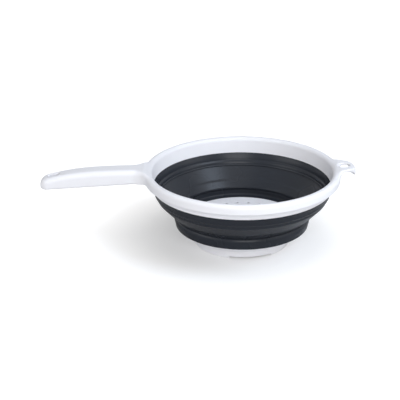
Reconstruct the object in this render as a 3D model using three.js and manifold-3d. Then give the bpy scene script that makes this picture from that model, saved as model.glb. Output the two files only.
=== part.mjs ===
// Collapsible colander: a white rim moulded in one piece with its handle and hook ear, a soft
// bellows wall that turns inside out at two folds, and a white perforated base on a foot ring.
// Millimetres, +Z up. The handle points along -X and the hook ear along +X. The origin lies on the
// table under the middle of the whole length, so the bowl's own axis stands beside it.

import * as THREE from 'three';
import { mergeVertices } from 'three/addons/utils/BufferGeometryUtils.js';
import Module from 'manifold-3d';

const wasm = await Module();
wasm.setup();

// Clearances and working values
const seatGap = 0.3;
const foldGap = 0.4;
const cutOverrun = 3;
const weldDistance = 0.00001;
const turnSegments = 64;
const profileSteps = 3;
const curveSteps = 4;
const cornerSteps = 3;

// Strainer base
const footRadius = 55.4;
const footHeight = 9;
const footFlare = 1.6;
const footWall = 2.4;
const flangeRadius = 73.4;
const flangeEdge = 3.4;
const bandGrip = 1;
const coveHollowShare = 0.1;
const baseHeight = 22.2;
const plateThickness = 2.2;
const plateRise = 1.5;
const plateRadius = 67.6;
const holeRadius = 2;
const holeRings = 4;
const holesPerRing = 6;
const holePitch = 12.75;
const holeSides = 10;
const holeTurn = THREE.MathUtils.degToRad(-4.6);
const footNotchCount = 3;
const footNotchDepth = 1.7;
const footNotchAngle = THREE.MathUtils.degToRad(51);
const footNotchTurn = THREE.MathUtils.degToRad(-82.3);

// Bellows
const bellowsWall = 2.3;
const foldWall = 1.2;
const lipReach = 5.6;
const lipThickness = 1.6;
const lowerBandRise = 11.6;
const lowerBandBulge = 1.2;
const coneRise = 22.2;
const upperBandHeight = 11.4;
const upperBandTaper = 3.2;
const edgeRound = 0.8;

// Rim
const collarInnerRadius = 100.4;
const rimWall = 2.2;
const rimInnerRadius = 102.3;
const rimOuterRadius = 111;
const rimDepth = 19.9;
const skirtDepth = 11.3;
const rimInnerRound = 2;
const rimOuterRound = 3;
const channelRound = 1;

// Handle
const handleReach = 228;
const handleWidth = 25;
const handleTipWidth = 23;
const handleRise = 2.7;
const handleRiseRun = 10;
const handleDrop = 2;
const handleArch = 11.6;
const handleArchPower = 3;
const handleFall = 5.9;
const handleRootFillet = 14;
const handleTipRound = 9;
const handleTipCrown = 4;
const handleTopRound = 7;
const handleUnderRound = 2;
const handleWall = 2.4;
const ribThickness = 2;
const ribCount = 4;
const hangHoleLength = 14.4;
const hangHoleWidth = 8;
const hangHoleSetback = 15.6;
const hangHoleWall = 2.6;

// Hook ear
const earReach = 128.9;
const earWidth = 33;
const earRise = 1.6;
const earThickness = 2.8;
const earRootFillet = 9;
const earRootDrop = 6;
const earRootRun = 5.5;
const earEdgeRound = 1.5;
const earHoleLength = 14.6;
const earHoleWidth = 12.6;
const earHoleSetback = 14.2;
const hookDepth = 9.8;
const hookWidth = 11;
const hookThickness = 2.6;
const hookDroop = 4.5;

// Places worked out from the sizes above
const bowlAxisX = (handleReach - earReach) / 2;
const plateTop = baseHeight + plateRise;
const lowerBandTop = baseHeight + lowerBandRise;
const coneBottom = lowerBandTop - seatGap;
const coneTop = lowerBandTop + coneRise;
const upperBandBottom = coneTop - seatGap;
const upperBandTop = coneTop + upperBandHeight;
const collarBottom = upperBandTop + seatGap;
const rimTop = collarBottom + rimDepth;
const skirtBottom = rimTop - skirtDepth;
const bandInnerRadius = flangeRadius + seatGap;
const bandOuterRadius = bandInnerRadius + bellowsWall + lowerBandBulge;
const upperBandOuterTop = collarInnerRadius + rimWall - seatGap;
const upperBandOuterFoot = upperBandOuterTop - upperBandTaper;
const upperBandInnerFoot = upperBandOuterFoot - edgeRound - foldWall;

const white = { color: 0xf1f2f6, roughness: 0.38, metalness: 0 };
const slate = { color: 0x2b2e34, roughness: 0.55, metalness: 0 };

// Solids

// A closed mesh as a solid that can be joined and cut: shared corners are merged and faces of no
// area, such as those on a revolve's axis, are dropped.
function solidOf(geometry) {
  const bare = geometry.clone();
  bare.deleteAttribute('normal');
  bare.deleteAttribute('uv');
  const merged = mergeVertices(bare, weldDistance);
  const corners = merged.index.array;
  const faces = [];
  for (let i = 0; i < corners.length; i += 3) {
    const [a, b, c] = [corners[i], corners[i + 1], corners[i + 2]];
    if (a !== b && b !== c && c !== a) faces.push(a, b, c);
  }
  const vertProperties = new Float32Array(merged.attributes.position.array);
  const triVerts = new Uint32Array(faces);
  return new wasm.Manifold(new wasm.Mesh({ numProp: 3, vertProperties, triVerts }));
}

function geometryOf(solid) {
  const { vertProperties, triVerts } = solid.getMesh();
  const geometry = new THREE.BufferGeometry();
  geometry.setAttribute('position', new THREE.BufferAttribute(vertProperties, 3));
  geometry.setIndex(new THREE.BufferAttribute(triVerts, 1));
  geometry.computeVertexNormals();
  return geometry;
}

// A profile of radius and height, drawn with the solid on its left, turned about the vertical axis.
function revolve(profile) {
  const points = profile.getPoints(profileSteps);
  const geometry = new THREE.LatheGeometry(points, turnSegments);
  geometry.rotateX(Math.PI / 2);
  return solidOf(geometry);
}

// A flat outline raised from one height to another.
function prism(outline, bottom, top) {
  const geometry = new THREE.ExtrudeGeometry(outline, {
    depth: top - bottom,
    bevelEnabled: false,
    curveSegments: curveSteps,
  });
  geometry.translate(0, 0, bottom);
  return solidOf(geometry);
}

// A skin over sections that have the same number of points, closed by a flat fan at each end.
function loft(sections) {
  const count = sections[0].length;
  const positions = [];
  const faces = [];
  for (const section of sections) {
    for (const point of section) positions.push(point.x, point.y, point.z);
  }
  for (let s = 0; s + 1 < sections.length; s += 1) {
    for (let k = 0; k < count; k += 1) {
      const next = (k + 1) % count;
      const a = s * count + k;
      const b = s * count + next;
      const c = (s + 1) * count + next;
      const d = (s + 1) * count + k;
      faces.push(a, b, c, a, c, d);
    }
  }
  const last = (sections.length - 1) * count;
  for (let k = 1; k + 1 < count; k += 1) {
    faces.push(0, k + 1, k);
    faces.push(last, last + k, last + k + 1);
  }
  const geometry = new THREE.BufferGeometry();
  geometry.setAttribute('position', new THREE.Float32BufferAttribute(positions, 3));
  geometry.setIndex(faces);
  return solidOf(geometry);
}

// A section across an arm that leaves the bowl: a rectangle with rounded corners, square to the
// arm. The arm runs along +X before it is turned to its own side of the bowl.
function armSection(reach, halfWidth, bottom, top, lowerRound, upperRound) {
  const most = Math.min(halfWidth, (top - bottom) / 2) - seatGap;
  const low = Math.min(lowerRound, most);
  const high = Math.min(upperRound, most);
  const outline = new THREE.Path();
  outline.absarc(halfWidth - low, bottom + low, low, -Math.PI / 2, 0);
  outline.absarc(halfWidth - high, top - high, high, 0, Math.PI / 2);
  outline.absarc(high - halfWidth, top - high, high, Math.PI / 2, Math.PI);
  outline.absarc(low - halfWidth, bottom + low, low, Math.PI, Math.PI * 1.5);
  const points = outline.getPoints(cornerSteps);
  return points.map((point) => new THREE.Vector3(reach, point.x, point.y));
}

// A slot with round ends, or a round hole where its two sizes are alike.
function slotOutline(centre, length, width) {
  const radius = width / 2;
  const run = (length - width) / 2;
  const outline = new THREE.Shape();
  outline.absarc(centre + run, 0, radius, -Math.PI / 2, Math.PI / 2);
  outline.absarc(centre - run, 0, radius, Math.PI / 2, Math.PI * 1.5);
  return outline;
}

function smooth(share) {
  const t = THREE.MathUtils.clamp(share, 0, 1);
  return t * t * (3 - 2 * t);
}

function between(start, end, steps) {
  return Array.from({ length: steps + 1 }, (_, i) => start + ((end - start) * i) / steps);
}

function addNode(name, solid, finish) {
  const mesh = new THREE.Mesh(geometryOf(solid), new THREE.MeshStandardMaterial(finish));
  mesh.name = name;
  mesh.position.x = bowlAxisX;
  colander.add(mesh);
}

// Strainer base

// The plate, its rim flange, the cove under it and the hollow foot ring, in one profile.
function baseBody() {
  const footTopRadius = footRadius + footFlare;
  const undersideHeight = plateTop - plateThickness;
  const flangeUnder = baseHeight - flangeEdge;
  const coveWidth = flangeRadius - footTopRadius;
  const profile = new THREE.Path();
  profile.moveTo(0, undersideHeight);
  profile.lineTo(footTopRadius - footWall, undersideHeight);
  profile.lineTo(footTopRadius - footWall, footHeight);
  profile.lineTo(footRadius - footWall, 0);
  profile.lineTo(footRadius, 0);
  profile.lineTo(footTopRadius, footHeight);
  const coveHollow = footTopRadius + coveWidth * coveHollowShare;
  profile.quadraticCurveTo(coveHollow, flangeUnder - edgeRound, flangeRadius - edgeRound, flangeUnder);
  profile.lineTo(flangeRadius, flangeUnder + edgeRound);
  profile.lineTo(flangeRadius, baseHeight);
  profile.lineTo(plateRadius, baseHeight);
  profile.lineTo(plateRadius, plateTop - edgeRound);
  profile.lineTo(plateRadius - edgeRound, plateTop);
  profile.lineTo(0, plateTop);
  return revolve(profile);
}

// One straight drill through the plate.
function drainHole(radius, angle) {
  const drill = new THREE.CylinderGeometry(holeRadius, holeRadius, plateThickness + cutOverrun, holeSides);
  drill.rotateX(Math.PI / 2);
  drill.translate(radius * Math.cos(angle), radius * Math.sin(angle), plateTop - plateThickness / 2);
  return solidOf(drill);
}

// Rings of holes, each ring with one more set of holes than the ring inside it.
function drainHoles() {
  const holes = [drainHole(0, 0)];
  for (let ring = 1; ring <= holeRings; ring += 1) {
    const count = ring * holesPerRing;
    const step = (2 * Math.PI) / count;
    for (let i = 0; i < count; i += 1) holes.push(drainHole(ring * holePitch, holeTurn + (i + 0.5) * step));
  }
  return holes;
}

// A shallow gap under the foot ring, where water runs out from under the base.
function footNotch(angle) {
  const sector = new THREE.Shape();
  const inner = footRadius - footWall - cutOverrun;
  const outer = footRadius + footFlare;
  sector.absarc(0, 0, outer, angle - footNotchAngle / 2, angle + footNotchAngle / 2);
  sector.absarc(0, 0, inner, angle + footNotchAngle / 2, angle - footNotchAngle / 2, true);
  return prism(sector, -cutOverrun, footNotchDepth);
}

function strainerBase() {
  let base = baseBody();
  for (const hole of drainHoles()) base = base.subtract(hole);
  for (let i = 0; i < footNotchCount; i += 1) {
    base = base.subtract(footNotch(footNotchTurn + (i * 2 * Math.PI) / footNotchCount));
  }
  addNode('strainer_base', base, white);
}

// Bellows

// The lower band grips the base's flange with a lip over its edge, and bulges to the lower fold.
function bellowsLowerBand() {
  const bottom = baseHeight - bandGrip;
  const lipTop = baseHeight + seatGap + lipThickness;
  const shoulder = lowerBandTop - bellowsWall;
  const profile = new THREE.Path();
  profile.moveTo(bandInnerRadius, bottom);
  profile.lineTo(bandInnerRadius + bellowsWall - edgeRound, bottom);
  profile.quadraticCurveTo(bandOuterRadius, (bottom + shoulder) / 2, bandOuterRadius, shoulder);
  profile.lineTo(bandOuterRadius, lowerBandTop - edgeRound);
  profile.quadraticCurveTo(bandOuterRadius, lowerBandTop, bandOuterRadius - edgeRound, lowerBandTop);
  profile.lineTo(bandOuterRadius - bellowsWall, lowerBandTop);
  profile.lineTo(bandOuterRadius - bellowsWall, shoulder);
  profile.quadraticCurveTo(bandInnerRadius, lipTop, bandInnerRadius - lipReach, lipTop);
  profile.lineTo(bandInnerRadius - lipReach, baseHeight + seatGap);
  profile.lineTo(bandInnerRadius, baseHeight + seatGap);
  profile.lineTo(bandInnerRadius, bottom);
  addNode('bellows_lower_band', revolve(profile), slate);
}

// The conical wall between the two folds, thinned at both edges where it hinges. Its edges pass
// just outside the lower band and just inside the upper one.
function bellowsCone() {
  const footInner = bandOuterRadius + foldGap;
  const topOuter = upperBandInnerFoot - foldGap;
  const middle = (footInner + foldWall + topOuter) / 2;
  const middleHeight = (coneBottom + coneTop) / 2;
  const crown = bellowsWall - foldWall;
  const profile = new THREE.Path();
  profile.moveTo(footInner, coneBottom);
  profile.lineTo(footInner + foldWall, coneBottom);
  profile.quadraticCurveTo(middle + crown, middleHeight - crown, topOuter, coneTop);
  profile.lineTo(topOuter - foldWall, coneTop);
  profile.quadraticCurveTo(middle - foldWall - crown, middleHeight + crown, footInner, coneBottom);
  addNode('bellows_cone', revolve(profile), slate);
}

// The upper band hangs from the rim's collar and tapers to the upper fold.
function bellowsUpperBand() {
  const profile = new THREE.Path();
  const shoulder = upperBandBottom + bellowsWall;
  profile.moveTo(upperBandInnerFoot, upperBandBottom);
  profile.lineTo(upperBandInnerFoot + foldWall, upperBandBottom);
  profile.quadraticCurveTo(upperBandOuterFoot, upperBandBottom + edgeRound, upperBandOuterFoot, shoulder);
  profile.lineTo(upperBandOuterTop, upperBandTop);
  profile.lineTo(upperBandOuterTop - bellowsWall, upperBandTop);
  profile.lineTo(upperBandInnerFoot, upperBandBottom);
  addNode('bellows_upper_band', revolve(profile), slate);
}

// Rim with handle and hook ear

// An upturned channel: the collar that holds the bellows, the round top and the outer skirt.
function rimRing() {
  const collarOuter = collarInnerRadius + rimWall;
  const wallOuter = rimInnerRadius + rimWall;
  const skirtInner = rimOuterRadius - rimWall;
  const ceiling = rimTop - rimWall;
  const profile = new THREE.Path();
  profile.moveTo(collarInnerRadius, collarBottom);
  profile.lineTo(collarOuter, collarBottom);
  profile.lineTo(wallOuter, ceiling - channelRound);
  profile.quadraticCurveTo(wallOuter, ceiling, wallOuter + channelRound, ceiling);
  profile.lineTo(skirtInner - channelRound, ceiling);
  profile.quadraticCurveTo(skirtInner, ceiling, skirtInner, ceiling - channelRound);
  profile.lineTo(skirtInner, skirtBottom);
  profile.lineTo(rimOuterRadius - edgeRound, skirtBottom);
  profile.quadraticCurveTo(rimOuterRadius, skirtBottom, rimOuterRadius, skirtBottom + edgeRound);
  profile.lineTo(rimOuterRadius, rimTop - rimOuterRound);
  profile.quadraticCurveTo(rimOuterRadius, rimTop, rimOuterRadius - rimOuterRound, rimTop);
  profile.lineTo(rimInnerRadius + rimInnerRound, rimTop);
  profile.quadraticCurveTo(rimInnerRadius, rimTop, rimInnerRadius, rimTop - rimInnerRound);
  profile.lineTo(collarInnerRadius, collarBottom);
  return revolve(profile);
}

// Where a fillet leaves the rim's circle and where it meets the straight side of an arm.
function rootFillet(halfWidth, fillet) {
  const side = halfWidth + fillet;
  const centre = Math.sqrt((rimOuterRadius + fillet) ** 2 - side ** 2);
  const start = (centre * rimOuterRadius) / (rimOuterRadius + fillet);
  return { side, centre, start };
}

function filletHalfWidth(reach, root, fillet) {
  const back = THREE.MathUtils.clamp(root.centre - reach, 0, root.centre - root.start);
  return root.side - Math.sqrt(fillet ** 2 - back ** 2);
}

// How far an end of round plan or side view has drawn in at a given reach.
function endDrawIn(reach, tip, round) {
  const past = THREE.MathUtils.clamp(reach - (tip - round), 0, round);
  return round - Math.sqrt(round ** 2 - past ** 2);
}

const handleRoot = rootFillet(handleWidth / 2, handleRootFillet);
const handleRun = handleReach - handleRoot.centre;

function handleTopAt(reach) {
  const along = Math.max(reach - handleRoot.centre, 0) / handleRun;
  const risen = handleRise * smooth((reach - rimInnerRadius) / handleRiseRun);
  return rimTop + risen - handleArch * along ** handleArchPower;
}

function handleUnderAt(reach) {
  const along = Math.max(reach - handleRoot.centre, 0) / handleRun;
  const dropped = handleDrop * smooth((reach - handleRoot.start) / (handleRoot.centre - handleRoot.start));
  return skirtBottom - dropped - handleFall * along;
}

function handleHalfWidthAt(reach) {
  const along = Math.max(reach - handleRoot.centre, 0) / handleRun;
  const taper = ((handleWidth - handleTipWidth) / 2) * along;
  const drawIn = endDrawIn(reach, handleReach, handleTipRound);
  return filletHalfWidth(reach, handleRoot, handleRootFillet) - taper - drawIn;
}

// Over the rim the section is only a saddle on the rim's top, and beyond it the full depth.
function handleSection(reach) {
  const drawIn = endDrawIn(reach, handleReach, handleTipCrown);
  const seat = rimTop - rimWall;
  const bottom = reach < handleRoot.start ? seat : handleUnderAt(reach) + drawIn;
  const top = handleTopAt(reach) - drawIn;
  return armSection(reach, handleHalfWidthAt(reach), bottom, top, handleUnderRound, handleTopRound);
}

function handleBar() {
  const tipStart = handleReach - handleTipRound;
  const crownStart = handleReach - handleTipCrown;
  const reaches = [
    ...between(rimInnerRadius + rimInnerRound, handleRoot.start - seatGap, 2),
    ...between(handleRoot.start, handleRoot.centre, curveSteps),
    ...between(handleRoot.centre, tipStart, 2 * curveSteps).slice(1),
    ...between(tipStart, crownStart, curveSteps).slice(1),
    ...between(crownStart, handleReach, curveSteps).slice(1),
  ];
  return loft(reaches.map(handleSection));
}

// One moulding pocket under the handle, open below, between two ribs.
function handlePocket(start, end) {
  const sections = [start, end].map((reach) => {
    const halfWidth = handleHalfWidthAt(reach) - handleWall;
    const top = handleTopAt(reach) - handleWall;
    return armSection(reach, halfWidth, skirtBottom - handleReach, top, seatGap, handleTopRound - handleWall);
  });
  return loft(sections);
}

function handlePockets() {
  const first = handleRoot.centre + handleWall;
  const last = handleReach - hangHoleSetback - hangHoleLength / 2 - hangHoleWall;
  const pitch = (last - first + ribThickness) / (ribCount + 1);
  const pockets = [];
  for (let i = 0; i <= ribCount; i += 1) {
    const start = first + i * pitch;
    pockets.push(handlePocket(start, start + pitch - ribThickness));
  }
  return pockets;
}

function handle() {
  let bar = handleBar();
  for (const pocket of handlePockets()) bar = bar.subtract(pocket);
  const hole = slotOutline(handleReach - hangHoleSetback, hangHoleLength, hangHoleWidth);
  bar = bar.subtract(prism(hole, -cutOverrun, rimTop + handleRise + cutOverrun));
  return bar.rotate([0, 0, 180]);
}

const earRoot = rootFillet(earWidth / 2, earRootFillet);

// The ear's plan is half an ellipse beyond its root.
function earHalfWidthAt(reach) {
  const span = earReach - earRoot.centre;
  const along = THREE.MathUtils.clamp((reach - earRoot.centre) / span, 0, 1);
  const ellipse = (earWidth / 2) * (1 - Math.sqrt(1 - along ** 2));
  return filletHalfWidth(reach, earRoot, earRootFillet) - ellipse;
}

// The plate bends down at its tip, and a lip hangs there that hooks over the edge of a pot.
function earTopAt(reach) {
  const risen = earRise * smooth((reach - rimInnerRadius) / earRootFillet);
  const droop = hookDroop * (endDrawIn(reach, earReach, earRootFillet) / earRootFillet);
  return rimTop + risen - droop;
}

// The underside comes down in a hollow curve to the rim's skirt. Over the rim it is only a saddle.
function earUnderAt(reach) {
  if (reach < earRoot.start) return rimTop - rimWall;
  const back = Math.max(earRoot.start + earRootRun - reach, 0) / earRootRun;
  const drop = earRootDrop * (1 - Math.sqrt(1 - back ** 2));
  return earTopAt(reach) - earThickness - drop;
}

function earSection(reach, under, widest) {
  const halfWidth = THREE.MathUtils.clamp(earHalfWidthAt(reach), hookThickness, widest / 2);
  return armSection(reach, halfWidth, under, earTopAt(reach), earEdgeRound, earEdgeRound);
}

function hookEar() {
  const lipBottom = rimTop + earRise - earThickness - hookDepth;
  const lipStart = earReach - hookThickness;
  const plateReaches = [
    ...between(rimInnerRadius + rimInnerRound, earRoot.start - seatGap, 2),
    ...between(earRoot.start, earRoot.centre, curveSteps),
    ...between(earRoot.centre, earReach, 2 * curveSteps).slice(1),
  ];
  const lipReaches = between(lipStart, earReach, curveSteps);
  const plate = loft(plateReaches.map((reach) => earSection(reach, earUnderAt(reach), 2 * rimOuterRadius)));
  const lip = loft(lipReaches.map((reach) => earSection(reach, lipBottom, hookWidth)));
  return plate.add(lip);
}

function rimFrame() {
  const eye = slotOutline(earReach - earHoleSetback, earHoleLength, earHoleWidth);
  const eyeCut = prism(eye, collarBottom, rimTop + earRise + cutOverrun);
  const frame = rimRing().add(handle()).add(hookEar()).subtract(eyeCut);
  addNode('rim_frame', frame, white);
}

const colander = new THREE.Group();
strainerBase();
bellowsLowerBand();
bellowsCone();
bellowsUpperBand();
rimFrame();

export default colander;
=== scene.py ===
"""Visual model of a collapsible colander: white rim, handle and hook ear, dark bellows, white base.

Sizes are in millimetres in the row frame's directions. Every shape is worked out with numpy, and
is turned into metres when its mesh is made. The white mouldings are level surfaces of distance
fields, so that their fillets and rounded edges run into each other as a mould's do. The bellows
and its seams are profiles turned about the bowl's axis.
"""

from __future__ import annotations

import logging
import math
from dataclasses import dataclass, field
from enum import Enum
from typing import Callable

import bpy
import numpy as np
from mathutils import Matrix

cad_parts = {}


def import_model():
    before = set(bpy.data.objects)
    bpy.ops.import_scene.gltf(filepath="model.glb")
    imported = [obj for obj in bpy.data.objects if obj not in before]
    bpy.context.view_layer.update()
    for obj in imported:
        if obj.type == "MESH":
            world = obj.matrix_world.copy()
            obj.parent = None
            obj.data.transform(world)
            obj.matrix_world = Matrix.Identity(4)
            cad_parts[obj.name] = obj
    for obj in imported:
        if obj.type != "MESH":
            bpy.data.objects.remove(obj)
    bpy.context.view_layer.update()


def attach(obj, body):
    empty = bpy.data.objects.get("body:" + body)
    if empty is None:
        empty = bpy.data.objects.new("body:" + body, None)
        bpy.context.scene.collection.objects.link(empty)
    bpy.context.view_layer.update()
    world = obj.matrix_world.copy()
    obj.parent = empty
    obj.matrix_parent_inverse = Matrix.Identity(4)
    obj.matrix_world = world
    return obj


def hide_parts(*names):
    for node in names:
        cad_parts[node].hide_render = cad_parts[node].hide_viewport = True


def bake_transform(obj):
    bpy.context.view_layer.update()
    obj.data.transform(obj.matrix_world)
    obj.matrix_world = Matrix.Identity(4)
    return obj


LOG = logging.getLogger("colander")
MM = 0.001
FieldFunction = Callable[[np.ndarray, np.ndarray, np.ndarray], np.ndarray]


class Body(Enum):
    """The rigid bodies that pieces ride on."""

    BASE = "base"
    RIM = "rim"


class Slot(Enum):
    """The record's material slots."""

    WHITE = "white_plastic"
    DARK = "dark_elastomer"


def smooth_step(share: np.ndarray) -> np.ndarray:
    """Ease from 0 to 1: three times the share squared less twice its cube.

    Args:
        share: Progress, clipped to the range from 0 to 1.

    Returns:
        The eased progress.
    """
    t = np.clip(share, 0.0, 1.0)
    return t * t * (3.0 - 2.0 * t)


def round_join(a: np.ndarray, b: np.ndarray, radius: float | np.ndarray) -> np.ndarray:
    """Join two distance fields and fill the inner corner with an arc.

    Where both fields are under the radius, the result is the radius less the length of the two
    shortfalls, which is a quarter circle between the two surfaces.

    Args:
        a: First distance field.
        b: Second distance field.
        radius: Radius of the fillet.

    Returns:
        Distance to the joined shape.
    """
    arc = np.hypot(np.maximum(radius - a, 0.0), np.maximum(radius - b, 0.0))
    return np.maximum(radius, np.minimum(a, b)) - arc


def round_meet(a: np.ndarray, b: np.ndarray, radius: float | np.ndarray) -> np.ndarray:
    """Keep what is inside both distance fields and round the outer edge with an arc.

    Args:
        a: First distance field.
        b: Second distance field.
        radius: Radius of the rounded edge.

    Returns:
        Distance to the shape that both share.
    """
    arc = np.hypot(np.maximum(radius + a, 0.0), np.maximum(radius + b, 0.0))
    return np.minimum(-radius, np.maximum(a, b)) + arc


def slot_distance(along: np.ndarray, across: np.ndarray, length: float, width: float) -> np.ndarray:
    """Distance to a slot with round ends: distance to its middle line less half its width.

    Args:
        along: Coordinate along the slot from its centre.
        across: Coordinate across the slot from its centre.
        length: Whole length of the slot.
        width: Width of the slot.

    Returns:
        Distance to the slot's outline, negative inside.
    """
    run = (length - width) / 2.0
    return np.hypot(np.maximum(np.abs(along) - run, 0.0), across) - width / 2.0


def polygon_distance(radius: np.ndarray, height: np.ndarray, corners: np.ndarray) -> np.ndarray:
    """Distance in the radius-height plane to a closed polygon, negative inside.

    The distance is the least over the sides of the distance to that side's nearest point. A point
    is inside where a ray along the radius crosses the sides an odd number of times.

    Args:
        radius: Radii of the points.
        height: Heights of the points.
        corners: Corners of the polygon as rows of radius and height.

    Returns:
        Signed distance.
    """
    least = np.full(radius.shape, np.inf)
    inside = np.zeros(radius.shape, bool)
    for start, end in zip(corners, np.roll(corners, -1, axis=0)):
        side = end - start
        dr, dz = radius - start[0], height - start[1]
        share = np.clip((dr * side[0] + dz * side[1]) / (side @ side), 0.0, 1.0)
        least = np.minimum(least, np.hypot(dr - share * side[0], dz - share * side[1]))
        if side[1] != 0.0:
            spans = (start[1] > height) != (end[1] > height)
            inside ^= spans & (dr < side[0] * dz / side[1])
    return np.where(inside, -least, least)


def inset_polygon(corners: np.ndarray, amount: float) -> np.ndarray:
    """Move every side of a polygon inwards by the same amount.

    A corner moves along the sum of the inward normals of its two sides, divided by one plus the
    cosine between them.

    Args:
        corners: Corners counter-clockwise, as rows of radius and height.
        amount: Distance to move each side.

    Returns:
        The smaller polygon's corners.
    """
    side = np.roll(corners, -1, axis=0) - corners
    side /= np.linalg.norm(side, axis=1)[:, None]
    inward = np.stack([-side[:, 1], side[:, 0]], axis=1)
    before = np.roll(inward, 1, axis=0)
    cosine = (inward * before).sum(axis=1)[:, None]
    return corners + amount * (inward + before) / (1.0 + cosine)


@dataclass(frozen=True)
class FieldMesher:
    """Turns a distance field into a closed mesh whose points lie on the field's zero surface.

    Each grid cell that the surface crosses gets one point, the mean of the crossings on the
    cell's edges, and each crossed grid edge gets the four-sided face of its four cells. The points
    then slide down the gradient onto the surface, move a few times to the mean of their faces'
    middles, and slide again after each move.
    """

    step: float
    low: tuple[float, float, float]
    high: tuple[float, float, float]
    evenings: int = 3
    slides: int = 3
    probe: float = 0.02

    def _gradient(self, shape: FieldFunction, points: np.ndarray) -> np.ndarray:
        """Slope of the field along the three axes, from differences across a small probe.

        Args:
            shape: The distance field.
            points: Points as rows.

        Returns:
            One slope vector for each point.
        """
        slopes = np.empty_like(points)
        for axis in range(3):
            shift = np.zeros(3)
            shift[axis] = self.probe
            ahead = shape(*(points + shift).T)
            behind = shape(*(points - shift).T)
            slopes[:, axis] = (ahead - behind) / (2.0 * self.probe)
        return slopes

    def _slide(self, shape: FieldFunction, points: np.ndarray, times: int) -> np.ndarray:
        """Move points down the gradient by their distance, a few times.

        Args:
            shape: The distance field.
            points: Points as rows.
            times: How often they move.

        Returns:
            The points on the surface.
        """
        for _ in range(times):
            slopes = self._gradient(shape, points)
            reach = shape(*points.T) / np.maximum((slopes**2).sum(axis=1), 0.2)
            points = points - np.clip(reach, -self.step, self.step)[:, None] * slopes
        return points

    def mesh(self, shape: FieldFunction) -> tuple[np.ndarray, np.ndarray, np.ndarray]:
        """Mesh the zero surface of a field.

        Args:
            shape: The distance field, negative inside.

        Returns:
            Points, four-sided faces that look outwards, and unit normals at the points.
        """
        lines = [np.arange(a, b + self.step, self.step) for a, b in zip(self.low, self.high)]
        values = shape(*np.meshgrid(*lines, indexing="ij"))
        size = np.array(values.shape)
        cells, crossings, flips = [], [], []
        for axis in range(3):
            u, v = (axis + 1) % 3, (axis + 2) % 3
            first = np.moveaxis(values, axis, 0)[:-1]
            second = np.moveaxis(values, axis, 0)[1:]
            found = np.argwhere((first < 0.0) != (second < 0.0))
            a, b = first[tuple(found.T)], second[tuple(found.T)]
            others = [k for k in range(3) if k != axis]
            edge = np.empty_like(found)
            edge[:, axis] = found[:, 0]
            edge[:, others] = found[:, 1:]
            crossing = edge.astype(float)
            crossing[:, axis] += a / (a - b)
            around = np.repeat(edge[:, None, :], 4, axis=1)
            around[:, 1:3, u] -= 1
            around[:, 2:4, v] -= 1
            cells.append(around)
            crossings.append(np.repeat(crossing[:, None, :], 4, axis=1))
            flips.append(b < 0.0)
        cell = np.concatenate(cells).reshape(-1, 3)
        crossing = np.concatenate(crossings).reshape(-1, 3)
        names, members = np.unique(np.ravel_multi_index(cell.T, size), return_inverse=True)
        members = members.ravel()
        count = np.bincount(members, minlength=len(names))
        sums = [np.bincount(members, crossing[:, k], len(names)) for k in range(3)]
        points = np.array(self.low) + self.step * np.stack(sums, axis=1) / count[:, None]
        faces = members.reshape(-1, 4)
        flip = np.concatenate(flips)
        faces[flip] = faces[flip][:, ::-1]
        points = self._slide(shape, points, self.slides)
        corner = faces.ravel()
        share = np.bincount(corner, minlength=len(points))
        for _ in range(self.evenings):
            middles = np.repeat(points[faces].mean(axis=1), 4, axis=0)
            sums = [np.bincount(corner, middles[:, k], len(points)) for k in range(3)]
            points = self._slide(shape, np.stack(sums, axis=1) / share[:, None], 1)
        points = self._slide(shape, points, self.slides)
        normals = self._gradient(shape, points)
        normals /= np.maximum(np.linalg.norm(normals, axis=1), 1e-6)[:, None]
        return points, faces, normals


def rounded_profile(
    corners: np.ndarray, radii: np.ndarray, closed: bool, steps: int = 6
) -> np.ndarray:
    """Round the corners of a profile with curves of the second degree.

    Each corner is replaced by the curve from a point one radius before it to a point one radius
    after it, with the corner as the control point. No curve takes over 45% of a side.

    Args:
        corners: Corners as rows of radius and height.
        radii: How far from each corner its curve starts.
        closed: True where the last corner joins the first.
        steps: Spans in each curve.

    Returns:
        The rounded profile as rows of radius and height.
    """
    before = np.roll(corners, 1, axis=0) - corners
    after = np.roll(corners, -1, axis=0) - corners
    long_before = np.linalg.norm(before, axis=1)
    long_after = np.linalg.norm(after, axis=1)
    reach = np.minimum(radii, 0.45 * np.minimum(long_before, long_after))[:, None]
    start = corners + before / long_before[:, None] * reach
    end = corners + after / long_after[:, None] * reach
    t = np.linspace(0.0, 1.0, steps + 1)[None, :, None]
    bend = 2 * t * (1 - t) * corners[:, None]
    curves = (1 - t) ** 2 * start[:, None] + bend + t**2 * end[:, None]
    if closed:
        return curves.reshape(-1, 2)
    middle = curves[1:-1].reshape(-1, 2)
    return np.concatenate([corners[:1], middle, corners[-1:]])


def even_profile(profile: np.ndarray, spacing: float) -> np.ndarray:
    """Space a profile's points evenly along its length.

    Args:
        profile: Open profile as rows of radius and height.
        spacing: Distance between neighbours, in millimetres.

    Returns:
        The same line with evenly spaced points.
    """
    steps = np.linalg.norm(np.diff(profile, axis=0), axis=1)
    length = np.concatenate([[0.0], np.cumsum(steps)])
    places = np.linspace(0.0, length[-1], int(length[-1] / spacing) + 2)
    return np.stack([np.interp(places, length, profile[:, k]) for k in range(2)], axis=1)


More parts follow.
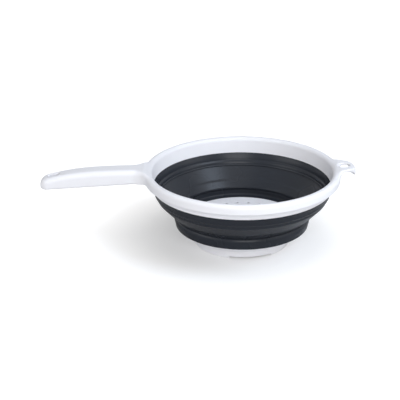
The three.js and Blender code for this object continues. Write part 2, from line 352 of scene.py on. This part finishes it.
def turned(
    profile: np.ndarray, closed: bool, segments: int, axis_x: float
) -> tuple[np.ndarray, np.ndarray]:
    """Turn a profile about the bowl's axis.

    A point at radius r and height z lies at x = axis + r cos(turn), y = r sin(turn). A profile
    with the material on its left as it is followed gives faces that look outwards.

    Args:
        profile: Rows of radius and height.
        closed: True where the profile's last point joins its first.
        segments: Steps round the circle.
        axis_x: Where the bowl's axis stands along X.

    Returns:
        Points and four-sided faces.
    """
    turn = np.arange(segments) * 2.0 * np.pi / segments
    radius, height = profile[:, 0], profile[:, 1]
    x = axis_x + np.cos(turn)[:, None] * radius
    y = np.sin(turn)[:, None] * radius
    z = np.broadcast_to(height, x.shape)
    points = np.stack([x, y, z], axis=2).reshape(-1, 3)
    count = len(profile)
    here = np.arange(count if closed else count - 1)
    after = (here + 1) % count
    ring = (np.arange(segments) * count)[:, None]
    next_ring = (((np.arange(segments) + 1) % segments) * count)[:, None]
    corners = [ring + here, next_ring + here, next_ring + after, ring + after]
    return points, np.stack(corners, axis=2).reshape(-1, 4)


def make_piece(
    name: str,
    points: np.ndarray,
    faces: np.ndarray,
    material: bpy.types.Material,
    normals: np.ndarray | None = None,
) -> bpy.types.Object:
    """Put a mesh of four-sided faces into the scene.

    Args:
        name: Name of the piece.
        points: Points in millimetres.
        faces: Four point numbers for each face.
        material: The piece's material.
        normals: Unit normals at the points, where they are known exactly.

    Returns:
        The new object, at the origin.
    """
    mesh = bpy.data.meshes.new(name)
    mesh.vertices.add(len(points))
    mesh.vertices.foreach_set("co", (points * MM).astype(np.float32).ravel())
    mesh.loops.add(faces.size)
    mesh.loops.foreach_set("vertex_index", faces.astype(np.int32).ravel())
    mesh.polygons.add(len(faces))
    mesh.polygons.foreach_set("loop_start", np.arange(len(faces), dtype=np.int32) * 4)
    mesh.polygons.foreach_set("use_smooth", np.ones(len(faces), bool))
    mesh.update(calc_edges=True)
    mesh.validate()
    if normals is not None:
        mesh.normals_split_custom_set_from_vertices(normals)
    mesh.materials.append(material)
    piece = bpy.data.objects.new(name, mesh)
    bpy.context.scene.collection.objects.link(piece)
    LOG.info("%s: %d faces", name, len(faces))
    return piece


@dataclass(frozen=True)
class MouldedFinish:
    """Smooth moulded plastic or elastomer with a faint unevenness of its gloss."""

    name: str
    color: tuple[float, float, float]
    shade: tuple[float, float, float]
    roughness: float
    roughness_spread: float
    grain: float
    grain_depth: float
    specular: float = 0.5

    def build(self) -> bpy.types.Material:
        """Make the node material.

        Returns:
            A material whose colour and roughness drift a little over the piece, and whose
            surface has a fine grain, all by noise on Object coordinates.
        """
        material = bpy.data.materials.new(self.name)
        material.use_nodes = True
        nodes, links = material.node_tree.nodes, material.node_tree.links
        shader = nodes["Principled BSDF"]
        shader.inputs["Specular IOR Level"].default_value = self.specular
        place = nodes.new("ShaderNodeTexCoord")
        drift = nodes.new("ShaderNodeTexNoise")
        drift.inputs["Scale"].default_value = 18.0
        drift.inputs["Detail"].default_value = 3.0
        links.new(place.outputs["Object"], drift.inputs["Vector"])
        tone = nodes.new("ShaderNodeMix")
        tone.data_type = "RGBA"
        tone.inputs["A"].default_value = (*self.color, 1.0)
        tone.inputs["B"].default_value = (*self.shade, 1.0)
        links.new(drift.outputs["Fac"], tone.inputs["Factor"])
        links.new(tone.outputs["Result"], shader.inputs["Base Color"])
        gloss = nodes.new("ShaderNodeMapRange")
        gloss.inputs["To Min"].default_value = self.roughness - self.roughness_spread
        gloss.inputs["To Max"].default_value = self.roughness + self.roughness_spread
        links.new(drift.outputs["Fac"], gloss.inputs["Value"])
        links.new(gloss.outputs["Result"], shader.inputs["Roughness"])
        grain = nodes.new("ShaderNodeTexNoise")
        grain.inputs["Scale"].default_value = self.grain
        grain.inputs["Detail"].default_value = 2.0
        links.new(place.outputs["Object"], grain.inputs["Vector"])
        bump = nodes.new("ShaderNodeBump")
        bump.inputs["Strength"].default_value = self.grain_depth
        bump.inputs["Distance"].default_value = 0.00005
        links.new(grain.outputs["Fac"], bump.inputs["Height"])
        links.new(bump.outputs["Normal"], shader.inputs["Normal"])
        return material


WHITE_PLASTIC = MouldedFinish(
    name="white polypropylene",
    color=(0.885, 0.884, 0.915),
    shade=(0.865, 0.864, 0.897),
    roughness=0.42,
    roughness_spread=0.03,
    grain=900.0,
    grain_depth=0.15,
    specular=0.05,
)
DARK_ELASTOMER = MouldedFinish(
    name="slate elastomer",
    color=(0.0235, 0.027, 0.0345),
    shade=(0.0215, 0.025, 0.032),
    roughness=0.27,
    roughness_spread=0.015,
    grain=700.0,
    grain_depth=0.08,
    specular=0.16,
)


@dataclass(frozen=True)
class Heights:
    """Levels above the table at which one moulding ends and the next begins."""

    axis_x: float = 49.55
    plate: float = 23.7
    flange: float = 22.2
    lower_fold: float = 33.8
    upper_fold: float = 56.0
    band_top: float = 67.4
    collar: float = 67.7
    skirt: float = 76.3
    rim: float = 87.3


@dataclass(frozen=True)
class RimFrame:
    """Rim, handle and hook ear in one white moulding, hollow underneath."""

    levels: Heights = field(default_factory=Heights)
    collar_radius: float = 100.4
    lip_radius: float = 102.3
    outer_radius: float = 111.0
    wall: float = 2.2
    top_round: float = 4.2
    lip_round: float = 4.3
    skirt_round: float = 1.1
    small_round: float = 0.8
    hollow_round: float = 1.0
    collar_fillet: float = 0.6
    collar_overlap: float = 5.0
    saddle_half: float = 34.0
    saddle_fade: float = 16.0
    root_fillet: float = 14.0
    handle_reach: float = 228.0
    handle_half: float = 12.5
    handle_taper: float = 1.0
    handle_corner: float = 9.0
    handle_rise: float = 3.0
    handle_rise_run: float = 10.0
    handle_arch: float = 11.6
    handle_drop: float = 2.0
    handle_drop_lead: float = 2.0
    handle_drop_run: float = 9.0
    handle_fall: float = 5.9
    handle_round: float = 6.0
    handle_round_run: float = 12.0
    under_round: float = 2.0
    handle_root: float = 122.2
    slot_place: float = 212.4
    slot_length: float = 14.0
    slot_width: float = 8.0
    pocket_start: float = 124.6
    pocket_end: float = 202.6
    pocket_count: int = 5
    pocket_wall: float = 2.4
    pocket_corner: float = 1.5
    pocket_top_round: float = 4.0
    rib: float = 2.0
    ear_reach: float = 128.9
    ear_half: float = 16.5
    ear_fillet: float = 9.0
    ear_rise: float = 1.9
    ear_rise_run: float = 9.0
    ear_edge_less: float = 2.8
    ear_edge_lead: float = 6.0
    ear_edge_run: float = 11.0
    ear_plate: float = 2.6
    ear_hollow: float = 6.0
    ear_droop: float = 4.5
    lip_bottom: float = 77.9
    lip_bow: float = 0.05
    lip_thickness: float = 2.8
    lip_fillet: float = 3.0
    lip_lead: float = 2.0
    skirt_clear: float = 2.5
    skirt_clear_start: float = 24.0
    skirt_clear_run: float = 9.0
    eye_place: float = 114.7
    eye_length: float = 14.6
    eye_width: float = 12.4

    def plan(self, x: np.ndarray, y: np.ndarray) -> np.ndarray:
        """Distance to the outline seen from above.

        The outline is the rim's circle joined by fillets to the handle, a rectangle with round
        corners whose sides draw together towards its end, and to the ear, a round-ended tab.

        Args:
            x: Distance from the bowl's axis towards the ear.
            y: Distance across.

        Returns:
            Distance, negative inside.
        """
        ring = np.hypot(x, y) - self.outer_radius
        reach = -x
        along = np.clip((reach - self.handle_root) / (self.handle_reach - self.handle_root), 0, 1)
        half = self.handle_half - self.handle_taper * along
        corner = self.handle_corner
        near = self.outer_radius / 2.0
        run = (self.handle_reach - near) / 2.0
        qx = np.abs(reach - near - run) - run + corner
        qy = np.abs(y) - half + corner
        handle = np.hypot(np.maximum(qx, 0), np.maximum(qy, 0)) + np.minimum(np.maximum(qx, qy), 0)
        ear_run = self.ear_reach - self.ear_half - near
        ear_middle = near + ear_run / 2
        ear_width = 2 * self.ear_half
        ear = slot_distance(x - ear_middle, y, ear_run + ear_width, ear_width)
        joined = round_join(ring, handle - corner, self.root_fillet)
        return round_join(joined, ear, self.ear_fillet)

    def top(self, x: np.ndarray, y: np.ndarray) -> np.ndarray:
        """Height of the upper face: level on the rim, arched along the handle, drooping at the ear.

        Handle and ear rise by an eased step that starts at the rim's inner edge and fades out to
        both sides. The handle falls by its arch times the cube of the share of its length, and the
        ear's end falls as a quarter circle.

        Args:
            x: Distance from the bowl's axis towards the ear.
            y: Distance across.

        Returns:
            Height above the table.
        """
        reach = -x
        along = np.maximum(reach - self.handle_root, 0) / (self.handle_reach - self.handle_root)
        near = smooth_step((self.saddle_half - np.abs(y)) / self.saddle_fade)
        climb = smooth_step((reach - self.lip_radius) / self.handle_rise_run)
        handle = self.handle_rise * near * climb - self.handle_arch * along**3
        ear = self.ear_rise * near * smooth_step((x - self.lip_radius) / self.ear_rise_run)
        past = np.clip(x - (self.ear_reach - self.ear_fillet), 0, self.ear_fillet)
        droop = 1.0 - np.sqrt(1.0 - (past / self.ear_fillet) ** 2)
        return self.levels.rim + np.where(x < 0, handle, ear - self.ear_droop * droop)

    def under(self, x: np.ndarray, y: np.ndarray, z: np.ndarray, plan: np.ndarray) -> np.ndarray:
        """Distance below the lower edge: the skirt's, the handle's, the ear's or the hook lip's.

        The lip hangs along the ear's outline, deepest at the ear's end.

        Args:
            x: Distance from the bowl's axis towards the ear.
            y: Distance across.
            z: Height.
            plan: Distance to the outline.

        Returns:
            Positive below the edge.
        """
        reach = -x
        along = np.maximum(reach - self.handle_root, 0) / (self.handle_reach - self.handle_root)
        past_rim = reach - self.outer_radius + self.handle_drop_lead
        drop = self.handle_drop * smooth_step(past_rim / self.handle_drop_run)
        handle = self.levels.skirt - drop - self.handle_fall * along - z
        beside = (np.abs(y) - self.skirt_clear_start) / self.skirt_clear_run
        clear = self.skirt_clear * smooth_step(beside)
        skirt = np.maximum(self.levels.skirt - z, np.hypot(x, y) - self.outer_radius - clear)
        ear = round_join(skirt, self.top(x, y) - self.ear_plate - z, self.ear_hollow)
        bottom = self.lip_bottom + self.lip_bow * y**2
        lip = round_meet(-plan - self.lip_thickness, bottom - z, self.small_round)
        lip = round_meet(lip, self.eye_place + self.lip_lead - x, self.small_round)
        return np.where(x < 0, handle, round_join(ear, lip, self.lip_fillet))

    def cavity(self, x: np.ndarray, y: np.ndarray, z: np.ndarray, plan: np.ndarray) -> np.ndarray:
        """Distance to the hollow underside: the rim's channel and the handle's pockets.

        The pockets repeat along the handle with a rib between neighbours.

        Args:
            x: Distance from the bowl's axis towards the ear.
            y: Distance across.
            z: Height.
            plan: Distance to the outline.

        Returns:
            Distance, negative in the hollow.
        """
        radius = np.hypot(x, y)
        top = self.top(x, y)
        eye = slot_distance(x - self.eye_place, y, self.eye_length, self.eye_width)
        inner = self.inner_radius(z) + self.wall
        outer = radius - self.outer_radius + self.wall
        channel = round_meet(inner - radius, outer, self.small_round)
        channel = round_meet(channel, self.wall - eye, 0.5)
        channel = round_meet(channel, z - top + self.wall, self.hollow_round)
        pitch = (self.pocket_end - self.pocket_start + self.rib) / self.pocket_count
        number = np.clip(np.floor((-x - self.pocket_start) / pitch), 0, self.pocket_count - 1)
        middle = self.pocket_start + number * pitch + (pitch - self.rib) / 2
        span = np.abs(-x - middle) - (pitch - self.rib) / 2
        pockets = round_meet(plan + self.pocket_wall, span, self.pocket_corner)
        pockets = round_meet(pockets, z - top + self.pocket_wall, self.pocket_top_round)
        return np.minimum(channel, pockets)

    def inner_radius(self, z: np.ndarray) -> np.ndarray:
        """Radius of the inner wall: it opens evenly from the collar's foot to the lip.

        Args:
            z: Height.

        Returns:
            Radius at that height.
        """
        share = (z - self.levels.collar) / (self.levels.rim - self.levels.collar)
        return self.collar_radius + (self.lip_radius - self.collar_radius) * share

    def distance(self, px: np.ndarray, py: np.ndarray, pz: np.ndarray) -> np.ndarray:
        """Distance field of the whole moulding.

        Args:
            px: X in the row frame.
            py: Y in the row frame.
            pz: Height.

        Returns:
            Distance, negative inside the plastic.
        """
        x = px - self.levels.axis_x
        radius = np.hypot(x, py)
        plan = self.plan(x, py)
        top = self.top(x, py)
        on_handle = smooth_step((-x - self.outer_radius) / self.handle_round_run)
        edge = self.top_round + (self.handle_round - self.top_round) * on_handle
        on_ear = smooth_step((x - self.outer_radius + self.ear_edge_lead) / self.ear_edge_run)
        edge = edge - self.ear_edge_less * on_ear
        under_edge = self.skirt_round + (self.under_round - self.skirt_round) * on_handle
        body = round_meet(plan, pz - top, edge)
        body = round_meet(body, self.under(x, py, pz, plan), under_edge)
        body = round_meet(body, -self.cavity(x, py, pz, plan), self.hollow_round)
        inner = self.inner_radius(pz)
        foot = self.levels.collar - pz
        collar = round_meet(radius - inner - self.wall, foot, self.small_round)
        collar = np.maximum(collar, pz - self.levels.skirt - self.collar_overlap)
        body = round_join(body, collar, self.collar_fillet)
        body = np.maximum(body, round_meet(inner - radius, pz - top, self.lip_round))
        body = np.maximum(body, round_meet(inner - radius, foot, self.small_round))
        eye = slot_distance(x - self.eye_place, py, self.eye_length, self.eye_width)
        body = round_meet(body, -eye, self.small_round)
        slot = slot_distance(-x - self.slot_place, py, self.slot_length, self.slot_width)
        return round_meet(body, -slot, self.hollow_round)

    def build(self, material: bpy.types.Material) -> None:
        """Mesh the moulding and set it on the rim's body.

        Args:
            material: The white plastic.
        """
        axis, side = self.levels.axis_x, self.outer_radius + 1.7
        mesher = FieldMesher(
            step=1.0,
            low=(axis - self.handle_reach - 1.7, -side, self.levels.collar - 1.4),
            high=(axis + self.ear_reach + 1.7, side, self.levels.rim + 4.6),
        )
        points, faces, normals = mesher.mesh(self.distance)
        piece = make_piece("rim_with_handle_and_ear", points, faces, material, normals)
        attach(piece, Body.RIM.value)
        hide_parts("rim_frame")


@dataclass(frozen=True)
class StrainerBase:
    """Perforated plate with its flange, the cove under it and the foot ring."""

    levels: Heights = field(default_factory=Heights)
    flange_radius: float = 73.4
    flange_depth: float = 3.4
    plate_radius: float = 67.6
    foot_radius: float = 54.6
    foot_height: float = 9.0
    foot_flare: float = 0.6
    foot_wall: float = 1.6
    ledge: float = 1.7
    plate: float = 2.2
    hole_radius: float = 2.0
    hole_pitch: float = 12.75
    hole_rings: int = 4
    holes_each: int = 6
    hole_turn: float = -4.6
    hole_reach: float = 1.5
    hole_round: float = 0.4
    notch_depth: float = 1.7
    notch_width: float = 51.0
    notch_turn: float = -82.3
    notch_count: int = 3
    notch_round: float = 0.3
    notch_reach: float = 9.0
    edge: float = 0.6

    def section(self) -> np.ndarray:
        """Corners of the moulding's section, drawn inside by the edge radius.

        Returns:
            Rows of radius and height, from the axis round to the axis.
        """
        flange = self.levels.flange
        under = self.levels.plate - self.plate
        foot_top = self.foot_radius + self.foot_flare
        cove = np.linspace(0.0, 1.0, 9)[:, None]
        start = np.array([foot_top + self.ledge, self.foot_height + 0.4])
        bend = np.array([foot_top + 3.0, flange - self.flange_depth - 0.6])
        end = np.array([self.flange_radius, flange - self.flange_depth])
        curve = (1 - cove) ** 2 * start + 2 * cove * (1 - cove) * bend + cove**2 * end
        inner = np.array(
            [
                [-5.0, under],
                [foot_top - self.foot_wall, under],
                [foot_top - self.foot_wall, self.foot_height],
                [self.foot_radius - self.foot_wall, 0.0],
                [self.foot_radius, 0.0],
                [foot_top, self.foot_height],
            ]
        )
        outer = np.array(
            [
                [self.flange_radius, flange],
                [self.plate_radius, flange],
                [self.plate_radius, self.levels.plate],
                [-5.0, self.levels.plate],
            ]
        )
        return inset_polygon(np.concatenate([inner, curve, outer]), self.edge)

    def holes(self, x: np.ndarray, y: np.ndarray) -> np.ndarray:
        """Distance to the nearest drain hole.

        A ring of the number n has six times n holes, so the nearest of them is found by folding
        the angle into one step of that ring.

        Args:
            x: Distance from the bowl's axis along X.
            y: Distance from the bowl's axis along Y.

        Returns:
            Distance, negative in a hole.
        """
        radius = np.hypot(x, y)
        angle = np.arctan2(y, x) - math.radians(self.hole_turn)
        nearest = radius
        for ring in range(1, self.hole_rings + 1):
            step = 2.0 * np.pi / (ring * self.holes_each)
            folded = np.mod(angle, step) - step / 2.0
            along = radius * np.cos(folded) - ring * self.hole_pitch
            nearest = np.minimum(nearest, np.hypot(along, radius * np.sin(folded)))
        return nearest - self.hole_radius

    def distance(self, px: np.ndarray, py: np.ndarray, pz: np.ndarray) -> np.ndarray:
        """Distance field of the whole base.

        The drain holes end a little way below the plate, so that they leave the foot ring whole.

        Args:
            px: X in the row frame.
            py: Y in the row frame.
            pz: Height.

        Returns:
            Distance, negative inside the plastic.
        """
        x = px - self.levels.axis_x
        radius = np.hypot(x, py)
        body = polygon_distance(radius, pz, self.section()) - self.edge
        below = self.levels.plate - self.plate - self.hole_reach - pz
        body = round_meet(body, -np.maximum(self.holes(x, py), below), self.hole_round)
        turn = np.degrees(np.arctan2(py, x)) - self.notch_turn
        part = 360.0 / self.notch_count
        folded = np.abs(np.mod(turn + part / 2, part) - part / 2) - self.notch_width / 2
        notch = np.maximum(pz - self.notch_depth, np.radians(folded) * radius)
        notch = np.maximum(notch, self.foot_radius - self.notch_reach - radius)
        return round_meet(body, -notch, self.notch_round)

    def build(self, material: bpy.types.Material) -> None:
        """Mesh the base and set it on the base's body.

        Args:
            material: The white plastic.
        """
        axis, reach = self.levels.axis_x, self.flange_radius + 1.3
        mesher = FieldMesher(
            step=0.8,
            low=(axis - reach, -reach, -1.3),
            high=(axis + reach, reach, self.levels.plate + 1.3),
        )
        points, faces, normals = mesher.mesh(self.distance)
        piece = make_piece("perforated_base", points, faces, material, normals)
        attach(piece, Body.BASE.value)
        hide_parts("strainer_base")


@dataclass(frozen=True)
class Bellows:
    """The soft wall from the rim's collar to the base's flange, with its two folds."""

    levels: Heights = field(default_factory=Heights)
    thickness: float = 2.2
    segments: int = 256

    def wall_line(self) -> np.ndarray:
        """Middle line of the wall from the base's flange up to the collar.

        Returns:
            Evenly spaced rows of radius and height.
        """
        low, high = self.levels.lower_fold, self.levels.upper_fold
        corners = np.array(
            [
                [74.8, self.levels.flange - 0.9],
                [75.2, self.levels.flange + 1.6],
                [76.3, low - 6.0],
                [76.6, low - 3.6],
                [75.9, low - 1.7],
                [74.5, low - 0.7],
                [80.8, low + 6.1],
                [82.7, low + 7.3],
                [95.7, high - 1.1],
                [96.9, high + 2.6],
                [98.4, high + 3.8],
                [99.3, high + 7.4],
                [101.6, self.levels.band_top + 1.2],
            ]
        )
        radii = np.array([1.0, 2.0, 2.0, 1.2, 0.9, 0.8, 0.8, 0.8, 1.2, 1.0, 1.0, 2.0, 1.0])
        return even_profile(rounded_profile(corners, radii, closed=False), 0.6)

    def build(self, material: bpy.types.Material) -> None:
        """Turn the wall and thicken it.

        Args:
            material: The dark elastomer.
        """
        axis = self.levels.axis_x
        points, faces = turned(self.wall_line(), False, self.segments, axis)
        wall = make_piece("bellows_wall", points, faces, material)
        thicken = wall.modifiers.new("wall thickness", "SOLIDIFY")
        thicken.thickness = self.thickness * MM
        thicken.offset = 0.0
        thicken.use_even_offset = True
        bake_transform(wall)
        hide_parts("bellows_lower_band", "bellows_cone", "bellows_upper_band")
        self._ring("bellows_foot_lip", self._lip(), Body.BASE, material)
        self._ring("bellows_fold_bead", self._bead(), Body.RIM, material)

    def _ring(
        self, name: str, corners: np.ndarray, body: Body, material: bpy.types.Material
    ) -> None:
        """Turn a small closed section into a ring that rides on a body.

        Args:
            name: Name of the ring.
            corners: Corners of its section as rows of radius and height.
            body: The body it rides on.
            material: The dark elastomer.
        """
        profile = rounded_profile(corners, np.full(len(corners), 0.6), closed=True)
        points, faces = turned(profile, True, self.segments, self.levels.axis_x)
        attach(make_piece(name, points, faces, material), body.value)

    def _lip(self) -> np.ndarray:
        """Section of the lip that covers the edge of the base's flange.

        Returns:
            Corners as rows of radius and height.
        """
        flange = self.levels.flange
        return np.array(
            [
                [68.0, flange + 0.2],
                [75.0, flange + 0.2],
                [75.0, flange + 4.0],
                [73.0, flange + 2.2],
                [68.0, flange + 1.7],
            ]
        )

    def _bead(self) -> np.ndarray:
        """Section of the bead inside the upper fold.

        Returns:
            Corners as rows of radius and height.
        """
        fold = self.levels.upper_fold
        low, high = fold - 1.1, fold + 0.7
        return np.array([[93.0, low], [95.6, low], [96.9, high], [94.0, high]])


@dataclass(frozen=True)
class SoftLamp:
    """A square soft lamp, placed by direction from the middle of the colander."""

    name: str
    azimuth: float
    elevation: float
    distance: float
    size: float
    power: float
    color: tuple[float, float, float] = (1.0, 1.0, 1.0)

    def place(self, target: np.ndarray) -> None:
        """Set the lamp in the scene, facing the target.

        Args:
            target: Point in metres that the lamp faces.
        """
        a, e = math.radians(self.azimuth), math.radians(self.elevation)
        back = np.array([math.sin(a) * math.cos(e), -math.cos(a) * math.cos(e), math.sin(e)])
        right = np.array([math.cos(a), math.sin(a), 0.0])
        up = np.cross(back, right)
        data = bpy.data.lights.new(self.name, "AREA")
        data.shape = "SQUARE"
        data.size = self.size
        data.energy = self.power
        data.color = self.color
        lamp = bpy.data.objects.new(self.name, data)
        place = np.eye(4)
        place[:3, 0], place[:3, 1], place[:3, 2] = right, up, back
        place[:3, 3] = target + back * self.distance
        lamp.matrix_world = Matrix(place.tolist())
        bpy.context.scene.collection.objects.link(lamp)


@dataclass(frozen=True)
class Studio:
    """Pale floor, soft lamps and the camera that sees the colander as the photograph does."""

    levels: Heights = field(default_factory=Heights)
    focal_pixels: float = 1136.0
    image_side: float = 400.0
    distance: float = 1300.0
    elevation: float = 22.9
    azimuth: float = -3.8
    target_height: float = 45.2
    target_pixel: tuple[float, float] = (241.9, 202.0)
    roll: float = 0.49
    # Painted shade: the floor's emission lift is low near the colander and high far out, and
    # reflections see no lift near it.
    floor_color: tuple[float, float, float] = (0.6, 0.6, 0.605)
    floor_near_lift: float = 0.22
    floor_far_lift: float = 0.9
    floor_painted_shade_middle: tuple[float, float, float] = (0.035, -0.007, 0.0)
    floor_painted_shade_reach: float = 0.255
    floor_painted_reflection_reach: tuple[float, float] = (0.2, 1.0)
    floor_half: float = 6.0
    sensor_width: float = 36.0
    world_color: tuple[float, float, float] = (0.94, 0.965, 1.0)
    world_strength: float = 0.11
    lamps: tuple[SoftLamp, ...] = (
        SoftLamp("key", 60.0, 66.0, 1.6, 1.6, 7.6, (1.0, 0.955, 0.93)),
        SoftLamp("window", 60.0, 52.0, 1.6, 0.62, 9.4, (0.68, 0.82, 1.0)),
        SoftLamp("front_fill", 4.0, 20.0, 1.6, 0.9, 12.4),
        SoftLamp("right_fill", 70.0, 25.0, 1.6, 1.0, 5.0, (1.0, 0.985, 0.965)),
        SoftLamp("left_fill", -70.0, 25.0, 1.6, 1.0, 7.2),
    )

    def build_floor(self) -> None:
        """Lay a wide pale floor that rays to the eye see brighter the farther out they meet it.

        Emission is a lift that grows with the distance from the painted shade's middle, so the low
        lift near the colander is painted shade round it. Rays of the camera and of transmission see
        it, and reflections see one that starts farther out, which paints a darker reflection of the
        floor near the colander. No other ray sees either, so they add no light.
        other ray sees either, so they add no light.
        """
        half = self.floor_half
        corners = np.array([[-half, -half, 0], [half, -half, 0], [half, half, 0], [-half, half, 0]])
        mesh = bpy.data.meshes.new("floor")
        mesh.from_pydata(corners.tolist(), [], [(0, 1, 2, 3)])
        floor = bpy.data.objects.new("floor", mesh)
        bpy.context.scene.collection.objects.link(floor)
        material = bpy.data.materials.new("studio floor")
        material.use_nodes = True
        nodes, links = material.node_tree.nodes, material.node_tree.links
        shader = nodes["Principled BSDF"]
        shader.inputs["Base Color"].default_value = (*self.floor_color, 1.0)
        shader.inputs["Roughness"].default_value = 0.9
        shader.inputs["Specular IOR Level"].default_value = 0.1
        shader.inputs["Emission Color"].default_value = (1.0, 1.0, 1.0, 1.0)
        place = nodes.new("ShaderNodeTexCoord")
        away = nodes.new("ShaderNodeVectorMath")
        away.operation = "DISTANCE"
        links.new(place.outputs["Object"], away.inputs[0])
        away.inputs[1].default_value = self.floor_painted_shade_middle
        direct, glossy = self._rays(nodes, links)
        near, far = self.floor_near_lift, self.floor_far_lift
        # Painted shade round the colander for the eye, and a painted darker floor in reflections
        # near it.
        seen = self._lift(nodes, links, away, direct, (0.0, self.floor_painted_shade_reach), (near, far))
        mirrored = self._lift(nodes, links, away, glossy, self.floor_painted_reflection_reach, (0.0, far))
        whole = nodes.new("ShaderNodeMath")
        links.new(seen, whole.inputs[0])
        links.new(mirrored, whole.inputs[1])
        links.new(whole.outputs["Value"], shader.inputs["Emission Strength"])
        mesh.materials.append(material)

    def _lift(
        self,
        nodes: bpy.types.Nodes,
        links: bpy.types.NodeLinks,
        away: bpy.types.Node,
        rays: bpy.types.NodeSocket,
        reach: tuple[float, float],
        level: tuple[float, float],
    ) -> bpy.types.NodeSocket:
        """Make a lift that eases from one level to another with the distance, for some rays only.

        Args:
            nodes: Nodes of the floor's material.
            links: Links of the same tree.
            away: Node that gives the distance.
            rays: Output that is one for the rays that see the lift.
            reach: Distances in metres at which the easing starts and ends.
            level: Levels there.

        Returns:
            The lift's output.
        """
        lift = nodes.new("ShaderNodeMapRange")
        lift.interpolation_type = "SMOOTHSTEP"
        lift.inputs["From Min"].default_value, lift.inputs["From Max"].default_value = reach
        lift.inputs["To Min"].default_value, lift.inputs["To Max"].default_value = level
        links.new(away.outputs["Value"], lift.inputs["Value"])
        seen = nodes.new("ShaderNodeMath")
        seen.operation = "MULTIPLY"
        links.new(rays, seen.inputs[0])
        links.new(lift.outputs["Result"], seen.inputs[1])
        return seen.outputs["Value"]

    def _rays(
        self, nodes: bpy.types.Nodes, links: bpy.types.NodeLinks
    ) -> tuple[bpy.types.NodeSocket, bpy.types.NodeSocket]:
        """Make the switches for rays that show a background.

        Args:
            nodes: Nodes of the material or world.
            links: Links of the same tree.

        Returns:
            An output that is one for rays of the camera and of transmission, and one that is one
            for reflections.
        """
        ray = nodes.new("ShaderNodeLightPath")
        direct = nodes.new("ShaderNodeMath")
        direct.use_clamp = True
        links.new(ray.outputs["Is Camera Ray"], direct.inputs[0])
        links.new(ray.outputs["Is Transmission Ray"], direct.inputs[1])
        return direct.outputs["Value"], ray.outputs["Is Glossy Ray"]

    def build_world(self) -> None:
        """Light the scene evenly from all round, and show white behind the floor."""
        world = bpy.data.worlds.new("studio")
        bpy.context.scene.world = world
        world.use_nodes = True
        nodes, links = world.node_tree.nodes, world.node_tree.links
        sky = nodes["Background"]
        direct, glossy = self._rays(nodes, links)
        seen = nodes.new("ShaderNodeMath")
        seen.use_clamp = True
        links.new(direct, seen.inputs[0])
        links.new(glossy, seen.inputs[1])
        tint = nodes.new("ShaderNodeMix")
        tint.data_type = "RGBA"
        tint.inputs["A"].default_value = (*self.world_color, 1.0)
        tint.inputs["B"].default_value = (1.0, 1.0, 1.0, 1.0)
        links.new(seen.outputs["Value"], tint.inputs["Factor"])
        links.new(tint.outputs["Result"], sky.inputs["Color"])
        level = nodes.new("ShaderNodeMapRange")
        level.inputs["To Min"].default_value = self.world_strength
        level.inputs["To Max"].default_value = 1.0
        links.new(seen.outputs["Value"], level.inputs["Value"])
        links.new(level.outputs["Result"], sky.inputs["Strength"])

    def build_camera(self) -> None:
        """Place the camera from the fit to the photograph.

        The camera looks at the bowl's axis at the target height from the distance, azimuth and
        elevation, then yaws, pitches and rolls until that point falls on its pixel.
        """
        e, a = math.radians(self.elevation), math.radians(self.azimuth)
        back = np.array([0.0, -math.cos(e), math.sin(e)])
        right = np.array([1.0, 0.0, 0.0])
        down = np.cross(-back, right)
        facing = np.stack([right, down, -back])
        centre = self.image_side / 2.0
        yaw = math.atan2(self.target_pixel[0] - centre, self.focal_pixels)
        pitch = math.atan2((self.target_pixel[1] - centre) * math.cos(yaw), self.focal_pixels)
        roll = math.radians(self.roll)
        turn_yaw = np.array(Matrix.Rotation(yaw, 3, "Y"))
        turn_pitch = np.array(Matrix.Rotation(-pitch, 3, "X"))
        turn_roll = np.array(Matrix.Rotation(roll, 3, "Z"))
        facing = turn_roll @ turn_pitch @ turn_yaw @ facing
        around = np.array(Matrix.Rotation(a, 3, "Z"))
        place = np.eye(4)
        place[:3, :3] = around @ np.stack([facing[0], -facing[1], -facing[2]], axis=1)
        axis = np.array([self.levels.axis_x, 0.0, self.target_height])
        place[:3, 3] = (axis + around @ back * self.distance) * MM
        data = bpy.data.cameras.new("camera")
        data.sensor_width = self.sensor_width
        data.lens = self.focal_pixels / self.image_side * self.sensor_width
        data.clip_end = 50.0
        camera = bpy.data.objects.new("camera", data)
        camera.matrix_world = Matrix(place.tolist())
        bpy.context.scene.collection.objects.link(camera)
        bpy.context.scene.camera = camera

    def build(self) -> None:
        """Set up floor, world, lamps, camera and the plain view transform."""
        self.build_floor()
        self.build_world()
        target = np.array([self.levels.axis_x, 0.0, self.target_height]) * MM
        for lamp in self.lamps:
            lamp.place(target)
        self.build_camera()
        bpy.context.scene.view_settings.view_transform = "Standard"


def main() -> None:
    """Build the colander and its studio."""
    logging.basicConfig(level=logging.INFO, format="%(name)s: %(message)s")
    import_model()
    white, dark = WHITE_PLASTIC.build(), DARK_ELASTOMER.build()
    RimFrame().build(white)
    StrainerBase().build(white)
    Bellows().build(dark)
    Studio().build()


if __name__ == "__main__":
    main()
